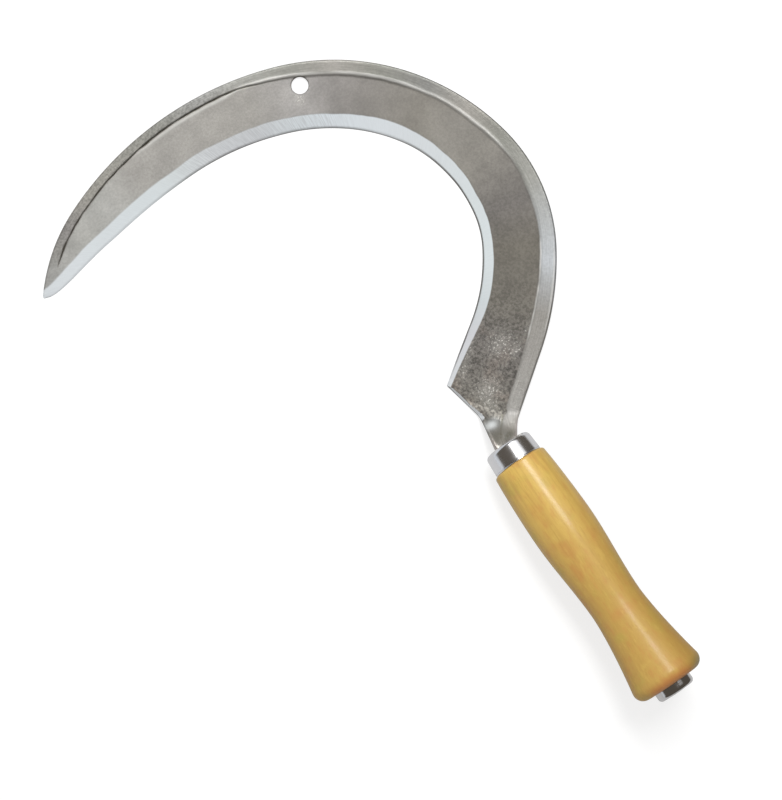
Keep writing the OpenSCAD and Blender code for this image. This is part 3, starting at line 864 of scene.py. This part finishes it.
def steel_textures(tree, at):
    """What the steel's looks are made of: places on the blade, noise and streaks."""
    lay = add(tree, "CombineXYZ", {0: at["along"], 1: at["across"]})[0]
    place = {0: add(tree, "TexCoord")["Object"], "Scale": 1 / MM}
    place = add(tree, "VectorMath", place, operation="SCALE")[0]
    turned = {"Vector": lay, "Angle": GRINDING_LEAN}
    turned = add(tree, "VectorRotate", turned, rotation_type="Z_AXIS")[0]
    coarse = noisy(tree, place, 0.75, 2)
    worn = {"Vector": place, "Size": 1.0, "Share": 0.4, "Softness": 0.08}
    return {
        "length": calc(tree, "DIVIDE", at["along"], BACK_LONG),
        "heel": between(tree, at["along"], 85, 25),
        "clouds": noisy(tree, place, 0.06, 3, 0.55),
        "coarse": coarse,
        "mottling": calc(tree, "SUBTRACT", between(tree, coarse, 0.3, 0.7), 0.5),
        "grain": noisy(tree, place, 1.3, 4, 0.65),
        "lines": streaky(tree, lay, 0.05, 2.2, 4),
        "grinding": streaky(tree, turned, 0.12, 1.6, 3),
        "specks": use(tree, specks, worn),
    }


def body_colour(tree, at):
    """The colour of the blade's body. Its mottling is strong at the heel, weaker up the right
    side, and faint beyond."""
    amount = between(tree, at["along"], 190, 120, 0.12, 0.22)
    shade = plus(tree, 1, at["mottling"], plus(tree, amount, at["heel"], 0.62))
    for name, least, most in [("grain", 0.93, 1.07), ("clouds", 0.90, 1.10)]:
        shade = times(tree, shade, between(tree, at[name], 0.3, 0.7, least, most))
    rust = times(tree, at["heel"], 0.25)
    rust = times(tree, between(tree, at["clouds"], 0.5, 0.68), rust)
    body = blend(tree, rust, gradient(tree, at["length"], BODY_TINTS), RUST_TINT)
    return blend(tree, 1, body, shade, "MULTIPLY")


def rim_colour(tree, at):
    """The colour of the rim, which is streaked along it and more mottled near the tip."""
    rim = gradient(tree, at["length"], RIM_TINTS)
    rim = blend(tree, 1, rim, between(tree, at["lines"], 0.3, 0.7, 0.90, 1.10), "MULTIPLY")
    amount = between(tree, at["along"], 300, 330, 0.12, 0.4)
    return blend(tree, 1, rim, plus(tree, 1, at["mottling"], amount), "MULTIPLY")


def ground_colour(tree, at):
    """The colour of the bevel, with the marks of grinding round the crown."""
    begun, ended = (between(tree, at["along"], *ends) for ends in [(230, 280), (385, 345)])
    scratched = between(tree, times(tree, begun, ended), 0, 1, 0.18, 1)
    scratches = between(tree, at["grinding"], 0.38, 0.64, 0, 0.5)
    scratches = times(tree, scratches, scratched)
    return blend(tree, scratches, gradient(tree, at["length"], GROUND_TINTS), SCRATCH_TINT)


def steel_colour(tree, at):
    """The colour of the whole forging, one finish laid over the other, with painted highlights and painted
    shade among them.
    """
    lines = at["lines"]
    drawn = blend(tree, 1, NECK_TINT, between(tree, lines, 0.32, 0.66, 0.70, 1.30), "MULTIPLY")
    broken = between(tree, lines, 0.35, 0.6, 0.65, 0.95)
    uneven_shade = between(tree, at["coarse"], 0.3, 0.6, 0.45, 0.95)
    colour = body_colour(tree, at)
    for amount, layer in [
        (at["specked"], RUBBED_TINT),
        (at["rim"], rim_colour(tree, at)),
        (times(tree, at["neck"], NECK_SHARE), drawn),
        # Painted highlight along the ridge and the back's corner.
        (times(tree, at["bead"], broken), BEAD_HIGHLIGHT_TINT),
        # Painted light on the neck's lips.
        (at["lip"], LIP_LIT_TINT),
        # Painted shade on the neck.
        (times(tree, at["stain"], uneven_shade), NECK_SHADE_TINT),
        # Polished steel with a painted highlight.
        (at["polish"], POLISHED_HIGHLIGHT_TINT),
        # Painted shade in the groove and on the hang hole's wall.
        (at["groove"], RECESS_SHADE_TINT),
        (at["bevel"], ground_colour(tree, at)),
        (times(tree, at["edge"], EDGE_SHARE), EDGE_TINT),
    ]:
        colour = blend(tree, amount, colour, layer)
    return colour


def steel_rough(tree, at):
    """The roughness of each finish."""
    rough = between(tree, at["rim"], 0, 1, STEEL_ROUGH, RIM_ROUGH)
    rough = calc(tree, "ADD", rough, between(tree, at["grain"], 0.3, 0.7, -0.05, 0.05))
    rough = plus(tree, rough, at["neck"], NECK_ROUGH - STEEL_ROUGH)
    rough = plus(tree, rough, at["polish"], POLISHED_ROUGH - NECK_ROUGH)
    return plus(tree, rough, at["bevel"], calc(tree, "SUBTRACT", GROUND_ROUGH, rough))


def steel_metal(tree, at):
    """How much each finish shines as bare metal does."""
    worked = calc(tree, "MAXIMUM", at["bevel"], at["polish"])
    metal = between(tree, worked, 0, 1, FORGED_METAL, GROUND_METAL)
    light = calc(tree, "MAXIMUM", at["bead"], at["specked"])
    light = times(tree, light, FORGED_METAL - BEAD_METAL)
    metal = calc(tree, "SUBTRACT", metal, light, clamp=True)
    return times(tree, metal, between(tree, at["dulled"], 0, 1, 1, DULL_METAL))


def steel_finish():
    """Forged steel, ground and worn where the blade's attributes say so, with painted highlights and painted
    shade where they say so too.
    """
    material, tree, shader = new_finish("forged_steel")
    at = {name: add(tree, "Attribute", attribute_name=name)["Fac"] for name in tints}
    at.update(steel_textures(tree, at))
    at["specked"] = times(tree, plus(tree, 0.16, at["specks"], 0.8), at["rubbed"], clamp=True)
    feed(tree, shader, {
        "Base Color": steel_colour(tree, at),
        "Roughness": steel_rough(tree, at),
        "Metallic": steel_metal(tree, at),
    })
    relief = between(tree, at["heel"], 0, 1, 0.35, 1)
    relief = times(tree, at["grain"], relief)
    relief = times(tree, relief, calc(tree, "SUBTRACT", 1, at["bevel"]))
    for name, where, high in [("lines", "rim", 0.3), ("grinding", "bevel", 0.2)]:
        relief = plus(tree, relief, at[name], times(tree, at[where], high))
    add_relief(tree, shader, relief, 0.6, STEEL_RELIEF)
    return material


blade.data.materials.append(steel_finish())
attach(blade, "root")
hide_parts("blade")


# Ferrule. A cup of chromed steel sheet, drawn with a rounded mouth that is open for the neck,
# and driven over the spigot of the handle.
MOUTH_R, SKIRT_R, OPENING_R, MOUTH_ROUND = 13, 13.5, 8.5, 2.5
OPENING_ROUND, INNER_ROUND, ROLL_R, ROLL_LONG = 0.35, 1.3, 0.46, 1.1
NOTCH_DEEP, NOTCH_WIDE, CRISP = 0.2, 0.12, 0.04
TURN_SIDES, TURNED_SHARP = 160, math.radians(35)
ON_AXIS = Matrix.Translation(MOUTH * MM) @ Matrix.Rotation(math.radians(90) - HANDLE_TILT, 4, "X")


def quarter(r, a, size, start, end, steps):
    """Points of (radius, distance) on an arc round (r, a). Angles are in degrees."""
    angles = np.radians(np.linspace(start, end, steps + 1))
    return [(r + size * math.cos(q), a + size * math.sin(q)) for q in angles]


def line(start, end, steps=8):
    """Points of (radius, distance) between two corners, both left out. The first and the last
    lie close to the corners and keep them crisp."""
    shares = [CRISP, *np.linspace(0, 1, steps + 1)[1:-1], 1 - CRISP]
    return [tuple(Vector(start).lerp(end, share)) for share in shares]


def turn(name, outline):
    """A piece turned round the handle's axis, from a closed outline of (radius, distance behind
    the mouth). Its attribute on_axis keeps each point's place in mm, with z along the axis."""
    n = len(outline)
    angles = [2 * math.pi * i / TURN_SIDES for i in range(TURN_SIDES)]
    places = [Vector((r * math.cos(q), r * math.sin(q), a)) for q in angles for r, a in outline]
    points = [ON_AXIS @ (place * MM) for place in places]
    faces = []
    for i in range(TURN_SIDES):
        here, beside = i * n, (i + 1) % TURN_SIDES * n
        faces += [(here + j, beside + j, beside + (j + 1) % n, here + (j + 1) % n) for j in range(n)]
    mesh = bpy.data.meshes.new(name)
    mesh.from_pydata(points, [], faces)
    mesh.shade_smooth()
    mesh.set_sharp_from_angle(angle=TURNED_SHARP)
    kept = mesh.attributes.new("on_axis", "FLOAT_VECTOR", "POINT")
    kept.data.foreach_set("vector", np.array(places, dtype=np.float32).ravel())
    return put(name, mesh)


roll_start = FERRULE_LONG - ROLL_LONG
outline = quarter(OPENING_R + OPENING_ROUND, OPENING_ROUND, OPENING_ROUND, -180, -90, 6)
outline += quarter(MOUTH_R - MOUTH_ROUND, MOUTH_ROUND, MOUTH_ROUND, -90, 0, 20)
outline += line((MOUTH_R, MOUTH_ROUND), (SKIRT_R, roll_start))
outline += [(SKIRT_R - 0.03, roll_start), (SKIRT_R - NOTCH_DEEP, roll_start + NOTCH_WIDE)]
outline += quarter(SKIRT_R - ROLL_R, FERRULE_LONG - ROLL_R, ROLL_R, -70, 80, 12)
outline += [(SKIRT_R - SHEET, FERRULE_LONG)]
outline += quarter(MOUTH_R - SHEET - INNER_ROUND, SHEET + INNER_ROUND, INNER_ROUND, 0, -90, 8)
outline += [(OPENING_R, SHEET)]
ferrule = turn("ferrule_cup", outline)

CHROME_TINT = (0.80, 0.80, 0.82)
CHROME_RELIEF = 0.05

# Handling marks: faint clouds of smears that make a polished surface a little duller in places.
smears, given, result = group_of("smears", ["Size", "Clean", "Dull"], "Roughness")
cloud = noisy(smears, given["Vector"], calc(smears, "DIVIDE", 1, given["Size"]), 4, 0.6)
mask = between(smears, cloud, 0.42, 0.68)
duller = calc(smears, "SUBTRACT", given["Dull"], given["Clean"])
smears.links.new(plus(smears, given["Clean"], mask, duller), result)


def chrome_finish(name, clean, dull, tint=CHROME_TINT):
    """Polished chrome plating with faint smears and polishing lines round the axis."""
    material, tree, shader = new_finish(name)
    place = add(tree, "Attribute", attribute_name="on_axis")["Vector"]
    rough = use(tree, smears, {"Vector": place, "Size": 6, "Clean": clean, "Dull": dull})
    feed(tree, shader, {"Base Color": tint, "Roughness": rough, "Metallic": 1})
    parts = add(tree, "SeparateXYZ", {0: place})
    around = calc(tree, "ARCTAN2", parts[1], parts[0])
    turned = add(tree, "CombineXYZ", {0: around, 1: parts[2]})[0]
    add_relief(tree, shader, streaky(tree, turned, 0.5, 5, 2), 0.12, CHROME_RELIEF)
    return material


ferrule.data.materials.append(chrome_finish("ferrule_chrome", 0.19, 0.22))
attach(ferrule, "root")
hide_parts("ferrule")


# Handle. Hardwood turned between centres, with a spigot for the ferrule and a bore for the tang,
# and dipped in a yellow lacquer that dries glossy.
FRONT_R, FRONT_ROUND = 14.9, 1.5
BELLY_R, BELLY_AT = 16.6, 39.5
WAIST_R, WAIST_AT = 14.1, 87
BUTT_R, BUTT_ROUND, CORNER_LEAN = 19.58, 5.5, 10
SWELL_FORM, SWELL_SHARE, FLARE_FORM = 1.7, 0.82, 1.5
SWELL_STEPS, CURVE_STEPS = 24, 33
BORE_R = TANG_R + 0.15
FERRULE_FIT = 0.05

lean = math.radians(CORNER_LEAN)
belly_a, waist_a = FERRULE_LONG + BELLY_AT, FERRULE_LONG + WAIST_AT
flare_r = BUTT_R - BUTT_ROUND + BUTT_ROUND * math.cos(lean)
flare_a = GRIP_END - BUTT_ROUND - BUTT_ROUND * math.sin(lean)
spigot_r = MOUTH_R - SHEET - FERRULE_FIT
outline = [(BORE_R, SHEET), (spigot_r - INNER_ROUND, SHEET), (spigot_r, SHEET + INNER_ROUND)]
outline += [(SKIRT_R - SHEET - FERRULE_FIT, FERRULE_LONG)]
outline += quarter(FRONT_R - FRONT_ROUND, FERRULE_LONG + FRONT_ROUND, FRONT_ROUND, -90, 0, 10)
for t in np.linspace(SWELL_SHARE, 0, SWELL_STEPS):
    swell = (BELLY_R - FRONT_R) * t ** SWELL_FORM
    outline.append((BELLY_R - swell, belly_a + (FERRULE_LONG - belly_a) * t))
for t in np.linspace(0, 1, CURVE_STEPS)[1:]:
    outline.append((BELLY_R + (WAIST_R - BELLY_R) * ease(t), belly_a + (waist_a - belly_a) * t))
for t in np.linspace(0, 1, CURVE_STEPS)[1:-1]:
    flare = (flare_r - WAIST_R) * t ** FLARE_FORM
    outline.append((WAIST_R + flare, waist_a + (flare_a - waist_a) * t))
outline += quarter(BUTT_R - BUTT_ROUND, GRIP_END - BUTT_ROUND, BUTT_ROUND, -CORNER_LEAN, 90, 20)
outline.append((BORE_R, GRIP_END))
handle = turn("handle_grip", outline)

WOOD_LIGHT = (0.69, 0.455, 0.105)
WOOD_DEEP = (0.50, 0.30, 0.072)
WOOD_RED = (0.55, 0.20, 0.06)
WOOD_YELLOW = (0.72, 0.53, 0.13)
WOOD_GREEN = (0.46, 0.38, 0.07)
# The dark of the grain, also used for painted shade along the handle's right side.
GRAIN_AND_SHADE_DARK = (0.38, 0.21, 0.04)
# Painted shade for the right of the butt's corner.
BUTT_SHADE = (0.27, 0.22, 0.075)
LACQUER_ROUGH, WORN_ROUGH, LACQUER_GLOSS, WOOD_RELIEF = 0.55, 0.65, 0.35, 0.2
COAT_ROUGH, COAT_FRONT, COAT_BUTT = 0.23, 0.48, 0.22


def wood_colour(tree, parts, at):
    """The wood's colour: layers of grain, then painted shade along the right side and at the butt's right
    corner.
    """
    colour = blend(tree, between(tree, parts[2], 10, 110, 0, 0.75), WOOD_LIGHT, WOOD_DEEP)
    for name, low, high, most, tint in [
        ("rings", 0.42, 0.66, 0.40, WOOD_DEEP),
        ("clouds", 0.52, 0.70, 0.35, WOOD_RED),
        ("clouds", 0.44, 0.30, 0.35, WOOD_GREEN),
        ("fibres", 0.50, 0.72, 0.30, GRAIN_AND_SHADE_DARK),
        ("pores", 0.62, 0.74, 0.35, GRAIN_AND_SHADE_DARK),
        ("flecks", 0.52, 0.68, 0.22, WOOD_RED),
        ("flecks", 0.46, 0.32, 0.22, WOOD_YELLOW),
    ]:
        colour = blend(tree, between(tree, at[name], low, high, 0, most), colour, tint)
    # Painted shade along the right side, deepening towards the butt.
    lower = between(tree, parts[2], 20, 130, 0.15, 0.6)
    painted_shade = times(tree, between(tree, parts[0], 2, 17), lower)
    colour = blend(tree, painted_shade, colour, GRAIN_AND_SHADE_DARK)
    pooled_lacquer_and_shade = between(tree, calc(tree, "ABSOLUTE", parts[0]), 15, 8)
    at_end = between(tree, parts[2], GRIP_END - 6, GRIP_END - 1.5)
    pooled_lacquer_and_shade = times(tree, times(tree, pooled_lacquer_and_shade, at_end), 0.75)
    colour = blend(tree, pooled_lacquer_and_shade, colour, WOOD_RED)
    # Painted shade on the right of the butt's corner.
    at_corner = between(tree, parts[2], GRIP_END - 9, GRIP_END - 1)
    corner = times(tree, at_corner, between(tree, parts[0], 11, 19))
    return blend(tree, times(tree, corner, 0.85), colour, BUTT_SHADE)


def wood_finish():
    """Fine straight-grained wood under yellow lacquer, darker towards the butt."""
    material, tree, shader = new_finish("lacquered_wood")
    place = add(tree, "Attribute", attribute_name="on_axis")["Vector"]
    parts = add(tree, "SeparateXYZ", {0: place})
    grainwise = add(tree, "CombineXYZ", {0: parts[2], 1: parts[0], 2: parts[1]})[0]
    at = {
        "clouds": noisy(tree, place, 0.055, 2),
        "rings": streaky(tree, grainwise, 0.012, 0.42, 3),
        "fibres": streaky(tree, grainwise, 0.09, 1.9, 4),
        "pores": streaky(tree, grainwise, 0.35, 3.4, 2),
        "flecks": streaky(tree, grainwise, 0.13, 0.36, 3),
    }
    lacquer = {"Vector": place, "Size": 12, "Clean": LACQUER_ROUGH, "Dull": WORN_ROUGH}
    relief = times(tree, at["fibres"], 0.6)
    add_relief(tree, shader, plus(tree, relief, at["rings"], 0.8), 0.35, WOOD_RELIEF)
    coat = between(tree, parts[2], 25, 125, COAT_FRONT, COAT_BUTT)
    coat = times(tree, coat, between(tree, at["flecks"], 0.36, 0.62, 0.75, 1.2))
    feed(tree, shader, {
        "Base Color": wood_colour(tree, parts, at),
        "Roughness": use(tree, smears, lacquer),
        "Specular IOR Level": LACQUER_GLOSS,
        "Coat Weight": coat,
        "Coat Roughness": COAT_ROUGH,
    })
    return material


handle.data.materials.append(wood_finish())
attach(handle, "root")
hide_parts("handle")


# Cap. A chromed steel button that closes the butt, with a countersink in which the end of the
# tang is peened over.
CAP_R, CAP_ROUND, CAP_EDGE = 10.39, 2.2, 0.2
CAP_TINT = (0.62, 0.61, 0.61)
outline = [(BORE_R, GRIP_END), (CAP_R - CAP_EDGE, GRIP_END), (CAP_R, GRIP_END + CAP_EDGE)]
outline += line((CAP_R, GRIP_END + CAP_EDGE), (CAP_R, CAP_END - CAP_ROUND), 4)
outline += quarter(CAP_R - CAP_ROUND, CAP_END - CAP_ROUND, CAP_ROUND, 0, 90, 16)
outline += [(PEEN_R + 0.2, CAP_END), (PEEN_R + 0.05, CAP_END - 0.12), (BORE_R, CAP_END - SINK)]
cap = turn("butt_cap_button", outline)
cap.data.materials.append(chrome_finish("cap_chrome", 0.09, 0.16, CAP_TINT))
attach(cap, "root")
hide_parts("butt_cap")
